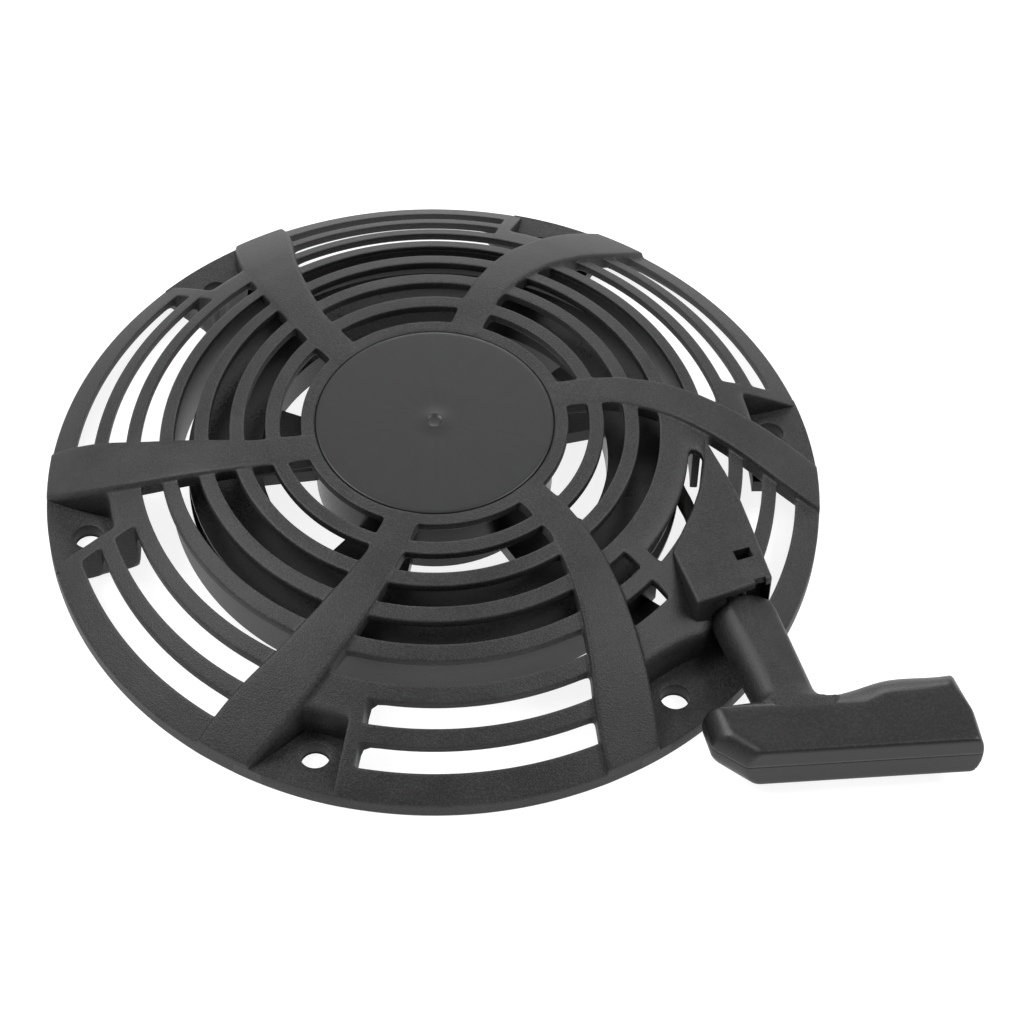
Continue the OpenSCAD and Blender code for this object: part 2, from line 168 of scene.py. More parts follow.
def towards_spine(loop: np.ndarray, spine: Sequence[Sequence[float]], depth: float = 0.0,
                  share: float = 0.0) -> np.ndarray:
    """Draw a loop in towards the nearest point of a line inside it.

    Args:
        loop: Points of the outline.
        spine: Corners of the line inside it.
        depth: How far each point moves, in millimetres.
        share: Share of the whole way that each point moves after that, from 0 to 1.

    Returns:
        The smaller loop, which never crosses itself.
    """
    c = np.asarray(spine, float)
    a, b = c[None, :-1], c[None, 1:]
    along = np.clip(((loop[:, None] - a) * (b - a)).sum(-1) / ((b - a) ** 2).sum(-1), 0, 1)
    near = a + along[..., None] * (b - a)
    gap = np.linalg.norm(loop[:, None] - near, axis=-1)
    best = near[np.arange(len(loop)), gap.argmin(1)]
    full = gap.min(1)[:, None]
    return loop + (best - loop) * np.clip(depth / full + share, 0, 0.985)


# ------------------------------------------------------------------ finishes


def new_group(name: str, inputs: dict, outputs: dict) -> bpy.types.NodeTree:
    """Start a shader node group with the given sockets, and return it."""
    group = bpy.data.node_groups.new(name, "ShaderNodeTree")
    for label, kind in inputs.items():
        group.interface.new_socket(label, in_out="INPUT", socket_type=kind)
    for label, kind in outputs.items():
        group.interface.new_socket(label, in_out="OUTPUT", socket_type=kind)
    return group


def add(tree: bpy.types.NodeTree, kind: str, settings: Optional[dict] = None, **inputs) -> bpy.types.Node:
    """Add a node, set its properties, and set or link its inputs by name or number.

    Args:
        tree: The node tree.
        kind: Type name of the node.
        settings: Properties of the node.
        inputs: Values, or output sockets to link; in_0 means input number 0.

    Returns:
        The new node.
    """
    node = tree.nodes.new(kind)
    for key, value in (settings or {}).items():
        setattr(node, key, value)
    for key, value in inputs.items():
        socket = node.inputs[int(key[3:])] if key.startswith("in_") else node.inputs[key.replace("_", " ")]
        if isinstance(value, bpy.types.NodeSocket):
            tree.links.new(value, socket)
        else:
            socket.default_value = value
    return node


def moulded_grain_group() -> bpy.types.NodeTree:
    """Spark-eroded plastic: fine grain for colour, roughness and height, with a painted highlight that makes the
    colour pale along the edges.
    """
    g = new_group("moulded_grain",
                  {"Vector": "NodeSocketVector", "Dark": "NodeSocketColor", "Light": "NodeSocketColor",
                   "Roughness": "NodeSocketFloat", "Wear": "NodeSocketFloat", "Cell": "NodeSocketFloat"},
                  {"Color": "NodeSocketColor", "Roughness": "NodeSocketFloat", "Height": "NodeSocketFloat"})
    i, o = g.nodes.new("NodeGroupInput"), g.nodes.new("NodeGroupOutput")
    fine = add(g, "ShaderNodeTexNoise", Vector=i.outputs["Vector"], Scale=i.outputs["Cell"], Detail=2.0)
    broad = add(g, "ShaderNodeTexNoise", Vector=i.outputs["Vector"], Scale=60.0, Detail=3.0)
    grain = add(g, "ShaderNodeMapRange", in_0=fine.outputs["Fac"], in_1=0.4, in_2=0.7)
    patch = add(g, "ShaderNodeMapRange", in_0=broad.outputs["Fac"], in_1=0.3, in_2=0.7, in_3=-0.12, in_4=0.12)
    # The edge attribute is a painted highlight: it makes the colour paler along the edges.
    edge = add(g, "ShaderNodeAttribute", {"attribute_name": "edge"})
    painted_highlight = add(g, "ShaderNodeMath", {"operation": "MULTIPLY"}, in_0=edge.outputs["Fac"], in_1=i.outputs["Wear"])
    speck = add(g, "ShaderNodeMath", {"operation": "MULTIPLY_ADD"}, in_0=grain.outputs["Result"], in_1=0.45,
                in_2=patch.outputs["Result"])
    mixed = add(g, "ShaderNodeMath", {"operation": "ADD", "use_clamp": True}, in_0=speck.outputs[0],
                in_1=painted_highlight.outputs[0])
    color = add(g, "ShaderNodeMix", {"data_type": "RGBA"}, in_0=mixed.outputs[0], in_6=i.outputs["Dark"],
                in_7=i.outputs["Light"])
    rough = add(g, "ShaderNodeMath", {"operation": "MULTIPLY_ADD"}, in_0=speck.outputs[0], in_1=0.14,
                in_2=i.outputs["Roughness"])
    g.links.new(color.outputs[2], o.inputs["Color"])
    g.links.new(rough.outputs[0], o.inputs["Roughness"])
    g.links.new(fine.outputs["Fac"], o.inputs["Height"])
    return g


def brushed_steel_group() -> bpy.types.NodeTree:
    """Steel: long fine scratches and a thin uneven film that changes colour and roughness."""
    g = new_group("worked_steel",
                  {"Vector": "NodeSocketVector", "Dark": "NodeSocketColor", "Light": "NodeSocketColor",
                   "Roughness": "NodeSocketFloat"},
                  {"Color": "NodeSocketColor", "Roughness": "NodeSocketFloat", "Height": "NodeSocketFloat"})
    i, o = g.nodes.new("NodeGroupInput"), g.nodes.new("NodeGroupOutput")
    stretch = add(g, "ShaderNodeMapping", Vector=i.outputs["Vector"], Scale=(1.0, 14.0, 1.0))
    lines = add(g, "ShaderNodeTexNoise", Vector=stretch.outputs["Vector"], Scale=260.0, Detail=4.0)
    film = add(g, "ShaderNodeTexNoise", Vector=i.outputs["Vector"], Scale=90.0, Detail=3.0)
    both = add(g, "ShaderNodeMath", {"operation": "MULTIPLY"}, in_0=lines.outputs["Fac"], in_1=film.outputs["Fac"])
    spread = add(g, "ShaderNodeMapRange", in_0=both.outputs[0], in_1=0.12, in_2=0.42)
    color = add(g, "ShaderNodeMix", {"data_type": "RGBA"}, in_0=spread.outputs["Result"], in_6=i.outputs["Dark"],
                in_7=i.outputs["Light"])
    rough = add(g, "ShaderNodeMath", {"operation": "MULTIPLY_ADD"}, in_0=spread.outputs["Result"], in_1=-0.18,
                in_2=i.outputs["Roughness"])
    g.links.new(color.outputs[2], o.inputs["Color"])
    g.links.new(rough.outputs[0], o.inputs["Roughness"])
    g.links.new(lines.outputs["Fac"], o.inputs["Height"])
    return g


def start_material(name: str, specular: float, bump: float, metallic: float = 0.0, distance: float = 0.0002
                   ) -> tuple[bpy.types.Material, bpy.types.Node, bpy.types.Node, bpy.types.Node]:
    """Make a material with a shader, a bump node and object coordinates.

    Args:
        name: Name of the material.
        specular: Specular level of the shader.
        bump: Strength of the bump.
        metallic: Metallic value of the shader.
        distance: Depth of the bump in metres.

    Returns:
        The material, the shader, the bump node and the coordinate node.
    """
    material = bpy.data.materials.new(name)
    material.use_nodes = True
    tree = material.node_tree
    shader = tree.nodes["Principled BSDF"]
    shader.inputs["Specular IOR Level"].default_value = specular
    shader.inputs["Metallic"].default_value = metallic
    relief = add(tree, "ShaderNodeBump", Strength=bump, Distance=distance)
    tree.links.new(relief.outputs["Normal"], shader.inputs["Normal"])
    coord = tree.nodes.new("ShaderNodeTexCoord")
    return material, shader, relief, coord


@dataclass(frozen=True)
class Nylon:
    """Black glass-filled nylon with a moulded grain."""

    name: str
    dark: tuple = (0.004, 0.0041, 0.0043, 1.0)
    light: tuple = (0.036, 0.0365, 0.0372, 1.0)
    roughness: float = 0.5
    # Strength of the painted highlight along the edges.
    edge_highlight: float = 0.3
    cell: float = 1900.0
    bump: float = 0.8
    specular: float = 0.32

    def material(self, group: bpy.types.NodeTree) -> bpy.types.Material:
        """Build the material around the shared grain group."""
        material, shader, relief, coord = start_material(self.name, self.specular, self.bump, distance=0.00022)
        tree = material.node_tree
        grain = add(tree, "ShaderNodeGroup", {"node_tree": group}, Vector=coord.outputs["Object"], Dark=self.dark,
                    Light=self.light, Roughness=self.roughness, Wear=self.edge_highlight, Cell=self.cell)
        tree.links.new(grain.outputs["Color"], shader.inputs["Base Color"])
        tree.links.new(grain.outputs["Roughness"], shader.inputs["Roughness"])
        tree.links.new(grain.outputs["Height"], relief.inputs["Height"])
        return material


@dataclass(frozen=True)
class SatinDisc:
    """Smooth satin nylon with faint flow marks that fan out from the gate in the middle."""

    name: str = "disc_satin"
    dark: tuple = (0.0085, 0.0087, 0.009, 1.0)
    light: tuple = (0.0115, 0.0118, 0.0122, 1.0)

    def material(self) -> bpy.types.Material:
        """Flow marks: noise of the bearing and a slow change with distance from the middle."""
        material, shader, relief, coord = start_material(self.name, 0.32, 0.06, distance=0.00008)
        tree = material.node_tree
        flat = add(tree, "ShaderNodeVectorMath", {"operation": "MULTIPLY"}, in_0=coord.outputs["Object"],
                   in_1=(1.0, 1.0, 0.0))
        unit = add(tree, "ShaderNodeVectorMath", {"operation": "NORMALIZE"}, in_0=flat.outputs[0])
        far = add(tree, "ShaderNodeVectorMath", {"operation": "SCALE"}, in_0=flat.outputs[0])
        far.inputs["Scale"].default_value = 9.0
        both = add(tree, "ShaderNodeVectorMath", {"operation": "ADD"}, in_0=unit.outputs[0], in_1=far.outputs[0])
        fan = add(tree, "ShaderNodeTexNoise", Vector=both.outputs[0], Scale=5.0, Detail=5.0, Roughness=0.62)
        fine = add(tree, "ShaderNodeTexNoise", Vector=coord.outputs["Object"], Scale=900.0, Detail=2.0)
        spread = add(tree, "ShaderNodeMapRange", in_0=fan.outputs["Fac"], in_1=0.3, in_2=0.72)
        color = add(tree, "ShaderNodeMix", {"data_type": "RGBA"}, in_0=spread.outputs["Result"], in_6=self.dark,
                    in_7=self.light)
        rough = add(tree, "ShaderNodeMapRange", in_0=fan.outputs["Fac"], in_1=0.3, in_2=0.7, in_3=0.44, in_4=0.385)
        tree.links.new(color.outputs[2], shader.inputs["Base Color"])
        tree.links.new(rough.outputs["Result"], shader.inputs["Roughness"])
        tree.links.new(fine.outputs["Fac"], relief.inputs["Height"])
        return material


@dataclass(frozen=True)
class Steel:
    """Plated, bare or spring steel."""

    name: str
    dark: tuple
    light: tuple
    roughness: float

    def material(self, group: bpy.types.NodeTree) -> bpy.types.Material:
        """Build the material around the shared steel group."""
        material, shader, relief, coord = start_material(self.name, 0.5, 0.12, metallic=1.0, distance=0.00005)
        tree = material.node_tree
        steel = add(tree, "ShaderNodeGroup", {"node_tree": group}, Vector=coord.outputs["Object"], Dark=self.dark,
                    Light=self.light, Roughness=self.roughness)
        tree.links.new(steel.outputs["Color"], shader.inputs["Base Color"])
        tree.links.new(steel.outputs["Roughness"], shader.inputs["Roughness"])
        tree.links.new(steel.outputs["Height"], relief.inputs["Height"])
        return material


@dataclass(frozen=True)
class BraidedCord:
    """Black braided rope; the strands follow the rope's own UV."""

    name: str = "rope_braid"
    shadow: tuple = (0.0150, 0.0145, 0.0135, 1.0)
    strand: tuple = (0.0360, 0.0355, 0.0335, 1.0)

    def material(self, use_uv: bool) -> bpy.types.Material:
        """Strands are two crossing waves; solids without UV take noise in object space instead."""
        material, shader, relief, coord = start_material(self.name + ("" if use_uv else "_knot"), 0.25, 0.5,
                                                         distance=0.0003)
        tree = material.node_tree
        fibre = add(tree, "ShaderNodeTexNoise", Vector=coord.outputs["Object"], Scale=2600.0, Detail=3.0)
        if use_uv:
            waves = [add(tree, "ShaderNodeTexWave", {"bands_direction": "DIAGONAL"},
                         Vector=add(tree, "ShaderNodeMapping", Vector=coord.outputs["UV"],
                                    Scale=(1.0, side, 1.0)).outputs["Vector"], Scale=1.0) for side in (1.0, -1.0)]
            weave = add(tree, "ShaderNodeMath", {"operation": "MAXIMUM"}, in_0=waves[0].outputs["Fac"],
                        in_1=waves[1].outputs["Fac"]).outputs[0]
        else:
            weave = add(tree, "ShaderNodeTexVoronoi", Vector=coord.outputs["Object"], Scale=900.0).outputs["Distance"]
        both = add(tree, "ShaderNodeMath", {"operation": "MULTIPLY_ADD", "use_clamp": True},
                   in_0=fibre.outputs["Fac"], in_1=0.5, in_2=weave)
        color = add(tree, "ShaderNodeMix", {"data_type": "RGBA"}, in_0=both.outputs[0], in_6=self.shadow,
                    in_7=self.strand)
        rough = add(tree, "ShaderNodeMapRange", in_0=fibre.outputs["Fac"], in_3=0.72, in_4=0.92)
        tree.links.new(color.outputs[2], shader.inputs["Base Color"])
        tree.links.new(rough.outputs["Result"], shader.inputs["Roughness"])
        tree.links.new(both.outputs[0], relief.inputs["Height"])
        return material


# ------------------------------------------------------------------ housing


@dataclass
class DomeShell:
    """The ringed dome with its six swept spokes, built on a grid that follows the spokes."""

    slot_r0: float = 42.4
    pitch: float = 11.3
    crown_z: float = 37.5
    wall: float = 3.2
    rib: float = 4.5
    lip: float = 0.75
    cols: int = 29
    sectors: int = 6
    slot_row: list = field(default_factory=lambda: [5 + 6 * i for i in range(7)])

    def height(self, r: np.ndarray) -> np.ndarray:
        """Dome height: flat to 48, an arc of radius 88 to 28 degrees, straight to 95, then an arc of radius 224."""
        t = np.radians(28.0)
        r1, z1 = 48 + 88 * np.sin(t), self.crown_z - 88 * (1 - np.cos(t))
        z2 = z1 - (95 - r1) * np.tan(t)
        x0, y0 = 95 - 224 * np.sin(t), z2 - 224 * np.cos(t)
        arc = self.crown_z - 88 + np.sqrt(np.maximum(88**2 - np.clip(r - 48, 0, 88) ** 2, 0))
        haunch = y0 + np.sqrt(np.maximum(224**2 - (r - x0) ** 2, 0))
        slope = z1 - (r - r1) * np.tan(t)
        return np.where(r <= 48, self.crown_z, np.where(r <= r1, arc, np.where(r <= 95, slope, haunch)))

    @staticmethod
    def rise(r: np.ndarray) -> np.ndarray:
        """How far a spoke stands above the dome: 0.12 up to r = 50, then growing to 2.1 at r = 100."""
        return 0.12 + 2.0 * np.clip((r - 50) / 50, 0, 1)

    @staticmethod
    def spoke_hi(r: np.ndarray) -> np.ndarray:
        """Bearing of a spoke's leading edge: 22.9 degrees at r = 45.7, less 0.232 a millimetre."""
        return 22.9 - 0.232 * (r - 45.7)

    def spoke_lo(self, r: np.ndarray) -> np.ndarray:
        """Bearing of a spoke's trailing edge: 10.8 degrees behind, wider at the hub and narrower at the rim."""
        return self.spoke_hi(r) - 10.8 - 2.3 * np.clip((57 - r) / 11.3, 0, 2) + 0.0043 * np.clip(r - 102, 0, 30) ** 2

    def rows(self) -> np.ndarray:
        """Radii of the grid's rows: hub ring, then seven slots with their bars, then the rim."""
        bars = [self.slot_r0 + self.pitch * i + d for i in range(7) for d in (0, 3.3, 6.6, 7.35, 8.95, 10.55)][:39]
        return np.array([37.9, 38.4, 39.1, 40.6, 41.65] + bars + [117.6, 119.6, 121.2, 121.7, 123.2, 124.35, 125.0])

    def bearings(self, r: np.ndarray) -> np.ndarray:
        """Bearing of every column at each radius: 8 on the spoke, 5 to the pocket wall, 3 on it, 13 after."""
        r = r[:, None]
        mm = np.degrees(1 / r)
        found = []
        for k in range(self.sectors):
            lo, hi = self.spoke_lo(r) + 60 * k, self.spoke_hi(r) + 60 * k
            p1 = np.maximum(hi + 5.35, 321.4 if k == 5 else 17.0 + 60 * k)
            p2 = p1 + (4.1 if k == 5 else 2.25)
            nx = self.spoke_lo(r) + 60 * (k + 1)
            found += [lo, lo + 0.35 * mm, lo + mm, lo + 0.36 * (hi - lo), lo + 0.64 * (hi - lo)]
            found += [hi - mm, hi - 0.35 * mm, hi]
            found += [hi + 0.8 * mm, hi + 0.35 * (p1 - hi), hi + 0.65 * (p1 - hi), p1 - 0.8 * mm, p1]
            found += [p1 + 0.75 * mm, p2 - 0.75 * mm, p2, p2 + 0.8 * mm]
            found += [p2 + (nx - p2) * j / 12 for j in range(1, 12)] + [nx - 0.8 * mm]
        return np.concatenate(found, 1)

    def radii(self, r: np.ndarray, bearing: np.ndarray) -> np.ndarray:
        """Radius of each grid point: the rows' own radii, stretched between slot 5 and the back of each pocket."""
        full = np.repeat(r[:, None], bearing.shape[1], 1)
        first, last = self.slot_row[4] + 2, self.slot_row[5] + 2
        back_deg = [300, 307.1, 308.9, 317.2, 321.3, 323.3, 324.5, 332]
        back_r = [102.8, 102.8, 103.5, 104.9, 107.6, 110.8, 108, 108]
        for k in range(self.sectors):
            c0 = k * self.cols
            inner = np.arange(c0 + 8, c0 + (19 if k == 5 else 12))
            end = np.interp(bearing[last, inner], back_deg, back_r) if k == 5 else np.full(len(inner), 104.5)
            share = (r[first:last + 1] - r[first]) / (r[last] - r[first])
            full[first:last + 1, inner] = r[first] + share[:, None] * (end - r[first])[None, :]
        gap = np.arange(5 * self.cols + 15, 5 * self.cols + 27)
        full[self.slot_row[3] + 1:self.slot_row[3] + 5, gap] = np.array([81.0, 86.0, 86.3, 86.6])[:, None]
        return full

    def kept(self, rows: int) -> np.ndarray:
        """Which cells of the grid are solid; the rest are slots, pockets and the gap beside the tower."""
        keep = np.ones((rows - 1, self.cols * self.sectors), bool)
        for k in range(self.sectors):
            c0, s = k * self.cols, self.slot_row
            for i in range(7):
                first = 7 if i <= 4 else 15
                last = self.cols
                if k == 5:
                    first, last = [(7, 29), (7, 29), (7, 29), (7, 12), (7, 12), (21, 29), (19, 29)][i]
                keep[s[i]:s[i] + 2, c0 + first:c0 + last] = False
            keep[s[5] + 2:, c0 + 7:c0 + (18 if k == 5 else 12)] = False
            if k == 5:
                keep[s[3] + 1, c0 + 15:c0 + 26] = False
                keep[s[4]:s[4] + 2, c0 + 25:c0 + 29] = False
        return keep

    def heights(self, full: np.ndarray) -> tuple[np.ndarray, np.ndarray]:
        """Top and bottom heights of each grid point, with spokes proud and pocket walls carried down."""
        top, low = self.height(full), self.height(full) - self.wall
        col = np.arange(full.shape[1]) % self.cols
        on, side = (col >= 2) & (col <= 5), (col == 1) | (col == 6)
        top[:, on] += self.rise(full[:, on])
        top[:, side] += self.rise(full[:, side]) - 0.12
        low[:, col <= 7] = self.height(full[:, col <= 7]) - self.rib
        top[0] -= 0.55
        s = self.slot_row
        walls = (col >= 12) & (col <= 15)
        low[np.ix_(np.arange(s[5] - 1, len(full)), walls)] = 1.0
        last = self.sectors * self.cols - self.cols
        rest = np.arange(len(col)) < last
        low[s[5] + 1:s[5] + 3, (col >= 7) & (col <= 12) & rest] = 1.0
        low[s[5] + 1:s[5] + 3, last + 7:last + 19] = 1.0
        hi = col == 7
        low[s[5] + 2:, hi] = np.minimum(low[s[5] + 2:, hi], 5.0)
        low[-4:] = 0.0
        return top, np.minimum(low, top - 2.2)

    def build(self) -> bpy.types.Object:
        """Join the solid cells' tops, bottoms and side walls into one closed surface, and round it by subdivision."""
        r = self.rows()
        bearing = self.bearings(r)
        full = self.radii(r, bearing)
        top, low = self.heights(full)
        keep = self.kept(len(r))
        nr, nc = full.shape
        a = np.radians(bearing)
        xy = np.stack([full * np.cos(a), full * np.sin(a)], -1)
        levels = [top, top - self.lip, low + self.lip, low]
        points = np.concatenate([np.concatenate([xy, z[..., None]], -1).reshape(-1, 3) for z in levels])
        i, j = np.nonzero(keep)

        def at(level: int, row: np.ndarray, col: np.ndarray) -> np.ndarray:
            """Number of a grid point on one of the four levels."""
            return level * nr * nc + row * nc + col % nc

        faces = [np.stack([at(0, i, j), at(0, i + 1, j), at(0, i + 1, j + 1), at(0, i, j + 1)], -1),
                 np.stack([at(3, i, j), at(3, i, j + 1), at(3, i + 1, j + 1), at(3, i + 1, j)], -1)]
        padded = np.zeros((nr + 1, nc), bool)
        padded[1:-1] = keep
        # rim is a painted highlight: 1 on the top corners of every open side, where the colour is made paler.
        rim = np.zeros(len(points))
        for ends, open_side in (((1, 1, 1, 0), ~padded[2:]), ((0, 0, 0, 1), ~padded[:-2]),
                                ((1, 0, 0, 0), ~np.roll(keep, 1, 1)), ((0, 1, 1, 1), ~np.roll(keep, -1, 1))):
            wi, wj = np.nonzero(keep & open_side)
            p, q = (wi + ends[0], wj + ends[1]), (wi + ends[2], wj + ends[3])
            rim[at(0, *p)] = rim[at(0, *q)] = 1.0
            faces += [np.stack([at(n, *p), at(n, *q), at(n + 1, *q), at(n + 1, *p)], -1) for n in range(3)]
        quads = np.concatenate(faces)
        used, inverse = np.unique(quads, return_inverse=True)
        piece = build_mesh("dome_shell", points[used], inverse.reshape(-1, 4), edge=rim[used], sharp_deg=180)
        piece.modifiers.new("rounding", "SUBSURF").levels = 1
        piece.modifiers["rounding"].render_levels = 1
        return piece


@dataclass
class CentreDisc:
    """The smooth disc in the middle of the crown, with its gate mark."""

    top: float = 37.5

    def build(self) -> bpy.types.Object:
        """Turn the disc's section round Z."""
        up = [(0.05, -0.5), (1.5, -0.5), (2.1, -0.42), (2.45, -0.05), (2.7, 0.0), (3.0, -0.02), (3.4, -0.1), (8, 0.0),
              (15, 0), (22, 0), (29, 0), (34, 0), (36.6, 0), (37.3, -0.02), (37.6, -0.15), (37.8, -0.5)]
        down = [(37.8, -3.2), (12, -3.2), (0.05, -3.2)]
        profile = np.array([(r, self.top + z) for r, z in down[::-1]] + [(r, self.top + z) for r, z in up[::-1]])
        points, quads = revolve(profile, 160)
        return build_mesh("centre_disc", points, quads, sharp_deg=50)


@dataclass
class PocketFloor:
    """Solid floor of a bolt pocket, with its clearance hole."""

    index: int
    start: float
    end: float
    inner: float = 103.6
    outer: float = 125.0
    floor: float = 5.6
    hole: float = 4.5

    def build(self) -> bpy.types.Object:
        """Rings of points run from the hole's circle out to the edge of the sector, and back underneath."""
        a, n = np.radians([self.start, self.end]), 40
        sweep = np.linspace(a[0], a[1], n, endpoint=False)
        side = np.linspace(self.outer, self.inner, 16, endpoint=False)
        xy = np.concatenate([self.outer * np.stack([np.cos(sweep), np.sin(sweep)], -1),
                             side[:, None] * [[np.cos(a[1]), np.sin(a[1])]],
                             self.inner * np.stack([np.cos(sweep[::-1]), np.sin(sweep[::-1])], -1),
                             side[::-1, None] * [[np.cos(a[0]), np.sin(a[0])]]])
        bolt = np.radians(12.45 + 60 * self.index)
        centre = 112.5 * np.array([np.cos(bolt), np.sin(bolt)])
        away = xy - centre
        unit = away / np.linalg.norm(away, axis=1, keepdims=True)
        steps = [(0, 0.0, 0), (0, 0.3, 0.3), (0, self.floor - 0.5, 0), (0, self.floor - 0.12, 0.16),
                 (0, self.floor, 0.55), (0.35, self.floor, 0), (0.97, self.floor, 0), (1, self.floor - 0.35, 0),
                 (1, 0.35, 0), (0.985, 0.0, 0)]
        rings = [np.concatenate([(centre + unit * (self.hole + grow)) * (1 - t) + xy * t,
                                 np.full((len(xy), 1), z)], 1) for t, z, grow in steps]
        quads = ring_quads(len(steps), len(xy), close_rings=True)
        # edge is a painted highlight on the rounded top edge round the hole and on the top of the outer edge.
        edge = np.repeat([0, 0, 0, 1, 0.4, 0, 0, 1, 0, 0], len(xy)).astype(float)
        return build_mesh(f"pocket_floor_{self.index}", np.concatenate(rings), quads, edge=edge)


@dataclass
class RopeTower:
    """The tower that the rope leaves through, with its mouth and its moulding window."""

    top: float = 29.2
    base: float = 1.0
    corners: tuple = ((86.1, 2.2), (92.3, -11.6), (96.6, -22.5), (100.7, -36.9), (104.7, -51.4), (105.5, -54.1),
                      (81.8, -64.4), (74.6, -44.3), (77.76, -36.26), (81.13, -27.93), (83.6, -19.3), (85.16, -10.46))
    spine: tuple = ((87.4, -9.5), (89.5, -25), (90.5, -40), (92.6, -52))

    def outline(self) -> np.ndarray:
        """Plan of the tower, anticlockwise, with soft corners."""
        return smooth_loop(self.corners[::-1], 0.6, 0.7)

    def build(self, line: "RopeLine") -> bpy.types.Object:
        """Stack the outline from base to top with a rounded top edge, then cut the mouth, passage and window."""
        loop = self.outline()
        steps = [(self.base, 0, 0), (self.base + 0.6, 0, 0), (self.top - 1.15, 0, 0), (self.top - 0.75, 0.08, 0),
                 (self.top - 0.35, 0.35, 0), (self.top - 0.08, 0.75, 0), (self.top, 1.2, 0), (self.top, 1.2, 0.3),
                 (self.top, 1.2, 0.65), (self.top, 1.2, 0.97)]
        rings = [np.concatenate([towards_spine(loop, self.spine, d, t), np.full((len(loop), 1), z)], 1)
                 for z, d, t in steps]
        n = len(loop)
        quads = ring_quads(len(rings), n).tolist()
        faces = quads + [list(range(n))[::-1], list(range((len(rings) - 1) * n, len(rings) * n))]
        # edge is a painted highlight along the rounded top edge.
        edge = np.repeat([0, 0, 0, 0.4, 1, 0.6, 0, 0, 0, 0], n).astype(float)
        piece = build_mesh("rope_tower", np.concatenate(rings), faces, edge=edge, sharp_deg=35)
        self.cut(piece, line.block(81, 121, 9.9, 6.0 - 16, 26.4 - 16))
        self.cut(piece, line.block(73.1, 76.9, 2.7, 4.0, 24.0, across=5.1))
        self.cut(piece, line.block(85.4, 96, 1.9, 8.0, 14.0, across=6.4))
        self.cut(piece, line.tube(30, 84, 5.0))
        piece.data.set_sharp_from_angle(angle=np.radians(35))
        return piece

    @staticmethod
    def cut(piece: bpy.types.Object, tool: bpy.types.Object) -> None:
        """Take the tool's shape out of the piece, and remove the tool."""
        cutter = piece.modifiers.new("cut", "BOOLEAN")
        cutter.operation, cutter.solver, cutter.object = "DIFFERENCE", "EXACT", tool
        bpy.context.view_layer.update()
        result = bpy.data.meshes.new_from_object(piece.evaluated_get(bpy.context.evaluated_depsgraph_get()))
        piece.modifiers.clear()
        piece.data = result
        bpy.data.objects.remove(tool)


@dataclass
class InnerFrame:
    """Hidden parts of the moulding: the skirt round the pulley, the post it turns on and the floor by the handle."""

    @staticmethod
    def arc(name: str, profile: np.ndarray, first_deg: float, last_deg: float, n: int) -> bpy.types.Object:
        """Carry a section part of the way round: point = (r cos a, r sin a, z) at n angles, with flat ends."""
        m, a = len(profile), np.radians(np.linspace(first_deg, last_deg, n))
        points = np.stack(np.broadcast_arrays(profile[:, 0:1] * np.cos(a), profile[:, 0:1] * np.sin(a),
                                              profile[:, 1:2] + 0 * a), -1).reshape(-1, 3)
        faces = ring_quads(m, n, close_rings=True, close_around=False).tolist()
        faces += [list(range(0, m * n, n)), list(range(n - 1, m * n, n))[::-1]]
        return build_mesh(name, points, faces, sharp_deg=45)

    def build(self, dome: DomeShell) -> list[bpy.types.Object]:
        """Carry the skirt and the slot floor part of the way round, and turn the post all the way."""
        z = float(dome.height(np.array([84.0]))[0]) - 1.5
        skirt = np.array([(82.6, 9.3), (82.9, 9), (84.7, 9), (85, 9.3), (85, z), (82.6, z)])
        post = np.array([(3.05, 10.5), (7.6, 10.5), (8, 10.9), (8, 33.4), (12, 33.4), (12, 35.0), (2.1, 35.0),
                         (2.1, 17.3), (3.05, 17.3)])
        floor = np.array([(84, 9.2), (103.2, 9.2), (103.2, 12.2), (84, 12.2)])
        points, quads = revolve(post, 64)
        return [self.arc("pulley_skirt", skirt, -1.5, 326.0, 170),
                build_mesh("pivot_post", points, quads, sharp_deg=45),
                self.arc("slot_floor", floor, 309.0, 323.5, 24)]


# ------------------------------------------------------------------ rope and handle


@dataclass
class RopeLine:
    """The straight line that the rope follows from the pulley to the handle."""

    bearing: float = -70.3
    radius: float = 70.6
    height: float = 16.0

    def frame(self) -> tuple[np.ndarray, np.ndarray, np.ndarray]:
        """Direction of the pull, the side towards the pulley's far side, and the start point."""
        a = np.radians(self.bearing)
        ahead, side = np.array([np.cos(a), np.sin(a), 0]), np.array([-np.sin(a), np.cos(a), 0])
        return ahead, side, side * self.radius + np.array([0, 0, self.height])

    def block(self, s0: float, s1: float, half: float, z0: float, z1: float, across: float = 0.0) -> bpy.types.Object:
        """A box along the line from s0 to s1, half wide each way about across, z0 to z1 above the line."""
        ahead, side, start = self.frame()
        corners = np.array([start + ahead * s + side * (across + half * w) + np.array([0, 0, z])
                            for z in (z0, z1) for s, w in ((s0, -1), (s1, -1), (s1, 1), (s0, 1))])
        faces = [[3, 2, 1, 0], [4, 5, 6, 7], [0, 1, 5, 4], [1, 2, 6, 5], [2, 3, 7, 6], [3, 0, 4, 7]]
        return build_mesh("cut_block", corners, faces)

    def tube(self, s0: float, s1: float, radius: float) -> bpy.types.Object:
        """A closed cylinder along the line from s0 to s1."""
        ahead, side, start = self.frame()
        a = np.linspace(0, 2 * np.pi, 40, endpoint=False)[:, None]
        ring = side * np.cos(a) + np.array([0, 0, 1.0]) * np.sin(a)
        points = np.concatenate([start + ahead * s0 + ring * radius, start + ahead * s1 + ring * radius])
        faces = ring_quads(2, 40).tolist() + [list(range(40))[::-1], list(range(40, 80))]
        return build_mesh("cut_tube", points, faces)


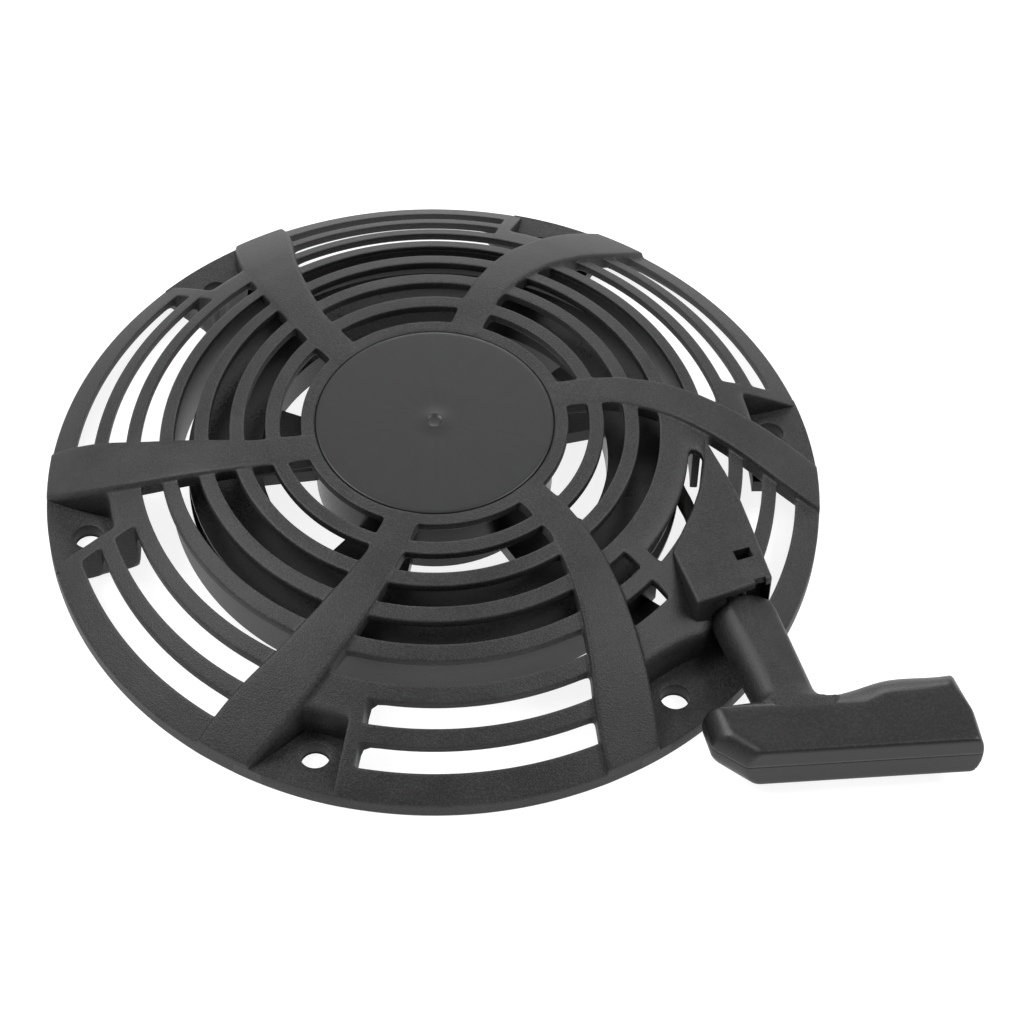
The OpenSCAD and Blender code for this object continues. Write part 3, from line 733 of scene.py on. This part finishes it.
@dataclass
class Rope:
    """Braided rope: three turns on the pulley, and the straight lead to the handle."""

    diameter: float = 5.0
    groups: int = 8

    def braid(self, around: np.ndarray, along: np.ndarray) -> np.ndarray:
        """Radius of the braid: crossing strands stand 0.16 proud where either of two waves crests."""
        a, b = np.cos(self.groups * around + along), np.cos(self.groups * around - along)
        return self.diameter / 2 - 0.2 + 0.16 * np.maximum(a, b)

    def winding(self) -> bpy.types.Object:
        """Spiral of three turns: the rope's oval section carried along r = 60.75 + 3.8 turns."""
        n, m = 900, 24
        t = np.linspace(0, 3.0, n)
        r, a = 60.75 + 3.8 * t, 2 * np.pi * t
        v = np.linspace(0, 2 * np.pi, m, endpoint=False)[None, :]
        along = (np.cumsum(r) * (a[1] - a[0]) * 2 * np.pi / 9.0)[:, None]
        rad = self.braid(v, along) * 0.78
        out, up = rad * np.cos(v), rad * np.sin(v) * 1.22
        points = np.stack([(r[:, None] + out) * np.cos(a)[:, None], (r[:, None] + out) * np.sin(a)[:, None],
                           16 + up], -1)
        uv = np.stack(np.broadcast_arrays(along, v * self.groups), -1).reshape(-1, 2)
        quads = ring_quads(n, m)[:, ::-1].tolist() + [list(range(m)), list(range((n - 1) * m, n * m))[::-1]]
        return build_mesh("rope_turns", points.reshape(-1, 3), [q[::-1] for q in quads], uv=uv, sharp_deg=180)

    def lead(self, line: RopeLine, s0: float, s1: float, b0: float, b1: float) -> bpy.types.Object:
        """Straight braid; its rings bunch between b0 and b1, where the rope is drawn out as the handle is pulled."""
        ahead, side, start = line.frame()
        w = np.linspace(0, 1, 700)
        t = 0.5 - np.sin(np.arcsin(1 - 2 * w) / 3)
        s = np.concatenate([np.linspace(s0, b0, 60, endpoint=False), b0 + (b1 - b0) * t, np.linspace(b1, s1, 60)[1:]])
        paid = np.concatenate([np.linspace(s0, b0, 60, endpoint=False), b0 + (b1 - b0) * t + 750 * w,
                               np.linspace(b1, s1, 60)[1:] + 750])
        m = 20
        v = np.linspace(0, 2 * np.pi, m, endpoint=False)[None, :]
        along = (paid * 2 * np.pi / 9.0)[:, None]
        rad = self.braid(v, along)[..., None]
        ring = side * np.cos(v)[..., None] + np.array([0, 0, 1.0]) * np.sin(v)[..., None]
        points = start + ahead * s[:, None, None] + ring * rad
        uv = np.stack(np.broadcast_arrays(along, v * self.groups), -1).reshape(-1, 2)
        n = len(s)
        quads = ring_quads(n, m).tolist() + [list(range(m))[::-1], list(range((n - 1) * m, n * m))]
        return build_mesh("rope_lead_braid", points.reshape(-1, 3), quads, uv=uv, sharp_deg=180)


FACET_TURN = np.radians(57.0)
FACET_DEPTH = 7.9


@dataclass
class PullHandle:
    """T handle: a bar with shallow finger grooves on a round neck."""

    heading: float = 5.4
    centre: tuple = (112.32, -104.33)
    low: float = 6.5
    high: float = 24.0
    neck_start: float = 86.5
    neck_length: float = 50.0
    fillet: float = 8.0

    @staticmethod
    def plan(swell: float, finger: float, cut: float, share: float) -> np.ndarray:
        """Outline of the bar at one height: flat faces that swell outwards, and a waved finger side.

        Args:
            swell: How far the ends stand out, in millimetres.
            finger: Share of the finger side's wave, from 0 to 1.
            cut: How far the outline is drawn in, in millimetres.
            share: Share of the way that it is then drawn in towards the bar's middle line.

        Returns:
            The outline in the handle's own axes, anticlockwise.
        """
        x = np.linspace(47.2 + 0.5 * swell, -18, 40)
        wave = 9.4 + 0.14 * (x + 19) + 1.15 * np.cos(np.radians(360 * (x - 29) / 38))
        flat = np.interp(x, [-18, 0, 20, 22, 26, 28, 36, 47], [7.4, 6.8, 6.3, 7.0, 9.0, 9.4, 9.7, 10.9])
        wave = np.maximum(wave, flat)
        back = np.stack([x, flat + finger * (wave - flat)], -1)
        front = np.array([[-24.6 - swell, 7.2 + 0.2 * finger], [-21.6 - 1.3 * swell, -3.0], [-13.2 - swell, -10.8],
                          [52.4 + 0.5 * swell, -10.8], [51.4 + 0.5 * swell, 1.5]])
        loop = smooth_loop(np.concatenate([back, front]), 0.5, 0.75)
        return towards_spine(loop, ((-13, -1.2), (42, -0.4)), cut, share)

    def build_bar(self) -> bpy.types.Object:
        """Stack outlines from bottom to top; the swell is one minus the height's share to the power 2.6."""
        low, high = self.low, self.high
        under = [(low, 1.2, 0.97), (low, 1.2, 0.6), (low, 1.2, 0.25), (low, 1.2, 0), (low + 0.12, 0.7, 0),
                 (low + 0.5, 0.25, 0), (low + 1.2, 0.0, 0)]
        side = [(z, 0.0, 0) for z in np.concatenate([np.linspace(low + 2.2, 15.8, 10), [16.15]])]
        seam = [(16.25, 0.12, 0), (16.35, 0.12, 0), (16.45, 0.0, 0)]
        upper = [(z, 0.0, 0) for z in np.linspace(17.2, high - 1.4, 8)]
        top = [(high - 0.85, 0.05, 0), (high - 0.4, 0.28, 0), (high - 0.1, 0.7, 0), (high, 1.2, 0), (high, 1.2, 0.25),
               (high, 1.2, 0.6), (high, 1.2, 0.97)]
        steps = under + side + seam + upper + top
        mid, half = (self.low + self.high) / 2, (self.high - self.low) / 2
        loops = []
        for z, cut, drawn in steps:
            share = 1 - min(1.0, abs(z - mid) / half) ** 2.6
            loops.append(self.plan(4.4 * share, share, cut, drawn))
        n = min(len(loop) for loop in loops)
        even = [loop[np.linspace(0, len(loop), n, endpoint=False).astype(int)] for loop in loops]
        a = np.radians(self.heading)
        turn = np.array([[np.cos(a), -np.sin(a)], [np.sin(a), np.cos(a)]])
        rings = [np.concatenate([loop @ turn.T + self.centre, np.full((n, 1), z)], 1)
                 for loop, (z, _, _) in zip(even, steps)]
        faces = ring_quads(len(rings), n).tolist()
        faces += [list(range(n))[::-1], list(range((len(rings) - 1) * n, len(rings) * n))]
        return build_mesh("grip_bar", np.concatenate(rings), faces, sharp_deg=60)

    def build_neck(self, line: RopeLine) -> bpy.types.Object:
        """Oval taper with a rounded start and one flat facet; an arc on each side flares it into the bar."""
        ahead, side, start = line.frame()
        s = np.concatenate([[0, 0.3, 0.9], np.linspace(2, self.neck_length, 46)])
        v = np.linspace(0, 2 * np.pi, 96, endpoint=False)[None, :]
        r = (9.3 - 1.1 * s / 42 - np.exp(-s / 0.8) * 1.5)[:, None]
        wide = (1 - np.exp(-s / 1.2))[:, None] * (1.2 + 0.5 * np.cos(v)) * np.cos(v) ** 2
        fillet = np.where(np.cos(v) > 0, self.fillet, 0.4 * self.fillet)
        reach = 0.255 * (r + wide + 0.7 * fillet) * np.cos(v)
        short = (126.4 + reach - self.neck_start - s[:, None]).clip(0, fillet)
        flare = fillet - np.sqrt(fillet**2 - (fillet - short) ** 2)
        facet = FACET_DEPTH / np.maximum(np.cos(v - FACET_TURN), 0.2)
        shape = np.minimum(r, facet) + wide + flare * np.cos(v) ** 2
        ring = side * np.cos(v)[..., None] + np.array([0, 0, 1.0]) * np.sin(v)[..., None]
        points = start + ahead * (self.neck_start + s)[:, None, None] + ring * shape[..., None]
        ceiling = 24.4 - 0.44 * ((s - 27) / 8).clip(0, 1)[:, None]
        points[..., 2] = np.clip(points[..., 2], 6.8, ceiling)
        n = len(s)
        quads = ring_quads(n, 96).tolist() + [list(range(96))[::-1], list(range((n - 1) * 96, n * 96))]
        return build_mesh("grip_neck", points.reshape(-1, 3), quads, sharp_deg=50)


@dataclass
class EjectorMark:
    """Shallow ring that an ejector pin left on the neck's facet."""

    along: float
    radius: float = 1.75
    depth: float = FACET_DEPTH

    def build(self, line: RopeLine, name: str) -> bpy.types.Object:
        """Turn a low ring section round the facet's own normal: point = centre + r (u cos a + w sin a) + n h."""
        ahead, side, start = line.frame()
        n = side * np.cos(FACET_TURN) + np.array([0, 0, 1.0]) * np.sin(FACET_TURN)
        u, w = ahead, np.cross(n, ahead)
        centre = start + ahead * self.along + n * self.depth + w * 0.5
        r = self.radius
        profile = np.array([(r - 0.32, -0.5), (r + 0.2, -0.5), (r + 0.16, 0.03), (r, 0.1), (r - 0.16, 0.1),
                            (r - 0.28, 0.02)])
        flat, quads = revolve(profile, 40)
        points = centre + flat[:, 0:1] * u + flat[:, 1:2] * w + flat[:, 2:3] * n
        return build_mesh(name, points, quads, sharp_deg=60)


# ------------------------------------------------------------------ whole starter


@dataclass
class RecoilStarter:
    """Builds every piece and dresses the carried-over nodes."""

    line: RopeLine = field(default_factory=RopeLine)
    dome: DomeShell = field(default_factory=DomeShell)

    def finishes(self) -> dict[str, bpy.types.Material]:
        """Make every material once."""
        grain, steel = moulded_grain_group(), brushed_steel_group()
        return {
            "shell": Nylon("shell_nylon").material(grain),
            "tower": Nylon("tower_nylon", edge_highlight=0.25, cell=2000.0, bump=0.6).material(grain),
            "disc": SatinDisc().material(),
            "inner": Nylon("inner_nylon", roughness=0.42, edge_highlight=0.1, bump=0.2).material(grain),
            "grip": Nylon("grip_nylon", roughness=0.38, edge_highlight=0.1, cell=1200.0, bump=0.15,
                          light=(0.015, 0.0153, 0.0157, 1.0)).material(grain),
            "neck": Nylon("neck_nylon", roughness=0.46, cell=2400.0, bump=0.4).material(grain),
            "pulley": Nylon("pulley_nylon", dark=(0.004, 0.004, 0.004, 1.0), light=(0.011, 0.0108, 0.0105, 1.0),
                            roughness=0.28, edge_highlight=0.0, cell=900.0, bump=0.1).material(grain),
            "rope": BraidedCord().material(True),
            "knot": BraidedCord().material(False),
            "bright": Steel("bright_plate", (0.42, 0.42, 0.43, 1.0), (0.72, 0.72, 0.73, 1.0), 0.4).material(steel),
            "pawl": Steel("pawl_steel", (0.2, 0.2, 0.205, 1.0), (0.44, 0.44, 0.45, 1.0), 0.52).material(steel),
            "spring": Steel("spring_steel", (0.1, 0.105, 0.115, 1.0), (0.3, 0.31, 0.33, 1.0), 0.42).material(steel),
        }

    def dress_nodes(self, finish: dict[str, bpy.types.Material]) -> None:
        """Give each carried-over node its material by its kind."""
        kinds = {"pulley": "pulley", "pulley_knot": "knot", "handle_knot": "knot", "pawl_a": "pawl", "pawl_b": "pawl",
                 "drive_plate": "pawl", "recoil_spring": "spring", "spring_anchor": "pawl"}
        for name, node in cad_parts.items():
            if node.hide_render:
                continue
            label = kinds.get(name, "spring" if "spring" in name else "bright")
            for slot in node.material_slots:
                slot.material = finish[label]
            LOG.info("%s keeps its shape and takes %s", name, finish[label].name)

    def build(self) -> None:
        """Build the pieces in order, from the housing out to the handle."""
        finish = self.finishes()
        place(self.dome.build(), finish["shell"], Body.HOUSING, ["housing"])
        place(CentreDisc().build(), finish["disc"], Body.HOUSING)
        for k in range(5):
            floor = PocketFloor(k, float(self.dome.spoke_hi(np.array([114.0]))[0]) + 60 * k - 5.0, 18.3 + 60 * k)
            place(floor.build(), finish["shell"], Body.HOUSING)
        place(PocketFloor(5, 301.5, 331.8, inner=101.5).build(), finish["shell"], Body.HOUSING)
        place(RopeTower().build(self.line), finish["tower"], Body.HOUSING)
        for piece in InnerFrame().build(self.dome):
            place(piece, finish["inner"], Body.HOUSING)
        rope = Rope()
        place(rope.winding(), finish["rope"], Body.PULLEY, ["rope_winding"])
        drawn_out = (60.0, 84.0)
        lead = rope.lead(self.line, 28.5, 131.0, *drawn_out)
        lead.data.materials.append(finish["rope"])
        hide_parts("rope_lead")
        ahead, _, start = self.line.frame()
        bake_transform(lead)
        handle = PullHandle()
        place(handle.build_bar(), finish["grip"], Body.HANDLE, ["handle_grip"])
        place(handle.build_neck(self.line), finish["neck"], Body.HANDLE)
        for number, along in enumerate((95.5, 120.5), 1):
            mark = EjectorMark(along).build(self.line, f"ejector_mark_{number}")
            place(mark, finish["grip"], Body.HANDLE)
        self.dress_nodes(finish)


@dataclass
class Studio:
    """White floor, soft lights and the camera."""

    floor_size: float = 6.0
    floor_tone: float = 0.3
    floor_glow: float = 0.85

    def floor(self) -> None:
        """A wide pale floor just under the part."""
        s = self.floor_size / 2 / MM
        piece = build_mesh("studio_floor", np.array([(-s, -s, -0.05), (s, -s, -0.05), (s, s, -0.05), (-s, s, -0.05)]),
                           [[0, 1, 2, 3]])
        material = bpy.data.materials.new("studio_white")
        material.use_nodes = True
        shader = material.node_tree.nodes["Principled BSDF"]
        shader.inputs["Base Color"].default_value = (*[self.floor_tone] * 3, 1.0)
        shader.inputs["Emission Color"].default_value = (1.0, 1.0, 1.0, 1.0)
        shader.inputs["Emission Strength"].default_value = self.floor_glow
        shader.inputs["Roughness"].default_value = 0.85
        shader.inputs["Specular IOR Level"].default_value = 0.1
        piece.data.materials.append(material)

    def lamp(self, name: str, place_at: tuple, aim: tuple, size: float, power: float) -> None:
        """A square soft light at place_at, facing aim."""
        data = bpy.data.lights.new(name, "AREA")
        data.size, data.energy = size, power
        lamp = bpy.data.objects.new(name, data)
        lamp.location = place_at
        lamp.rotation_euler = (Vector(aim) - Vector(place_at)).to_track_quat("-Z", "Y").to_euler()
        bpy.context.scene.collection.objects.link(lamp)

    def camera(self) -> None:
        """Camera above and in front, turned a little about its own axis."""
        e, az, roll = np.radians([51.0164, 1.28005, 2.04786])
        ahead = np.array([np.sin(az) * np.cos(e), np.cos(az) * np.cos(e), -np.sin(e)])
        right = np.array([np.cos(az), -np.sin(az), 0.0])
        up = np.cross(right, ahead)
        x, y = np.cos(roll) * right + np.sin(roll) * up, -np.sin(roll) * right + np.cos(roll) * up
        data = bpy.data.cameras.new("view")
        data.lens, data.sensor_width, data.clip_start, data.clip_end = 111.268, 36.0, 0.05, 20.0
        camera = bpy.data.objects.new("view", data)
        turn = np.eye(4)
        turn[:3, 0], turn[:3, 1], turn[:3, 2] = x, y, -ahead
        turn[:3, 3] = np.array([10.8948, -652.682, 798.5625]) * MM
        camera.matrix_world = Matrix(turn.tolist())
        bpy.context.scene.collection.objects.link(camera)
        bpy.context.scene.camera = camera

    def build(self) -> None:
        """Set the world, floor, lights and camera."""
        world = bpy.data.worlds.new("studio")
        world.use_nodes = True
        world.node_tree.nodes["Background"].inputs["Color"].default_value = (1.0, 1.0, 1.0, 1.0)
        world.node_tree.nodes["Background"].inputs["Strength"].default_value = 0.62
        bpy.context.scene.world = world
        bpy.context.scene.view_settings.view_transform = "Standard"
        self.floor()
        self.lamp("key", (-0.9, 0.1, 1.15), (0, 0, 0), 0.8, 22)
        self.lamp("fill", (1.0, 0.0, 1.1), (0.05, -0.05, 0), 0.8, 18)
        self.lamp("back", (0.1, 1.5, 0.75), (0, 0, 0), 0.7, 9)
        self.camera()


def main() -> None:
    """Build the starter and the studio."""
    logging.basicConfig(level=logging.INFO, format="%(message)s")
    RecoilStarter().build()
    Studio().build()


if __name__ == "__main__":
    main()
